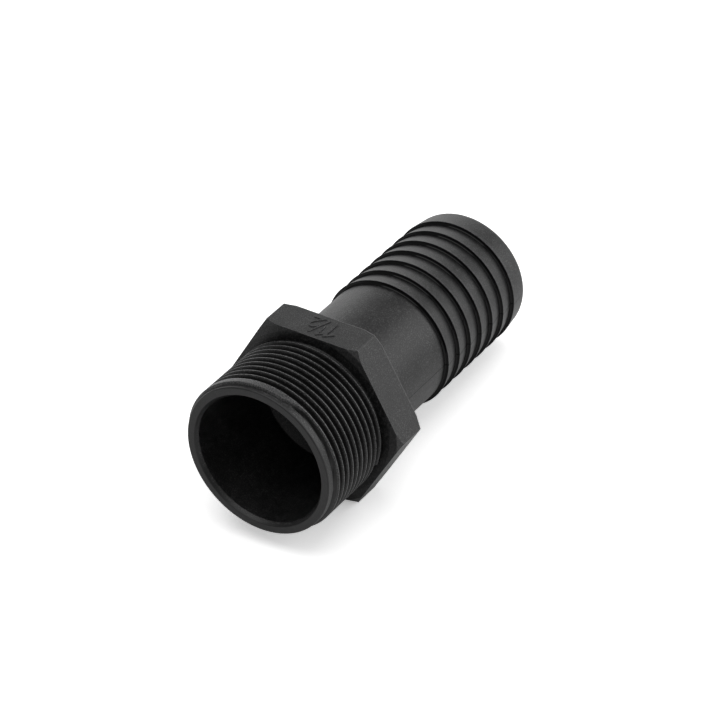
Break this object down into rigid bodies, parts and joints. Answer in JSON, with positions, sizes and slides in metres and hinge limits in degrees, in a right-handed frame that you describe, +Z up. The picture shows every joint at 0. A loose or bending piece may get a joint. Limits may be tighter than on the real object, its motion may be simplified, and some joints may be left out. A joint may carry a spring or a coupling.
{
  "type": "hose barb tail",
  "caption": "One-piece moulded pipe fitting: a male pipe thread and a hexagon at one end, a barbed tail for a push-on hose at the other, open right through.",
  "frame": {"origin": "on the surface that the fitting lies on, below the middle of its length", "axes": "+Z up from that surface; +X along the length from the threaded end to the barbed tail, the bore axis dipping 4.58 degrees towards the tail because the fitting lies on the hexagon's rear edge and its last barb; +Y across, in line with two of the hexagon's corners"},
  "size_m": [0.1142, 0.059, 0.0521],
  "materials": {
    "black_polymer": "fine matte moulded black plastic with brighter rubbed thread crests and edges"
  },
  "bodies": {
    "root": {"hose_tail": "black_polymer"}
  },
  "joints": []
}
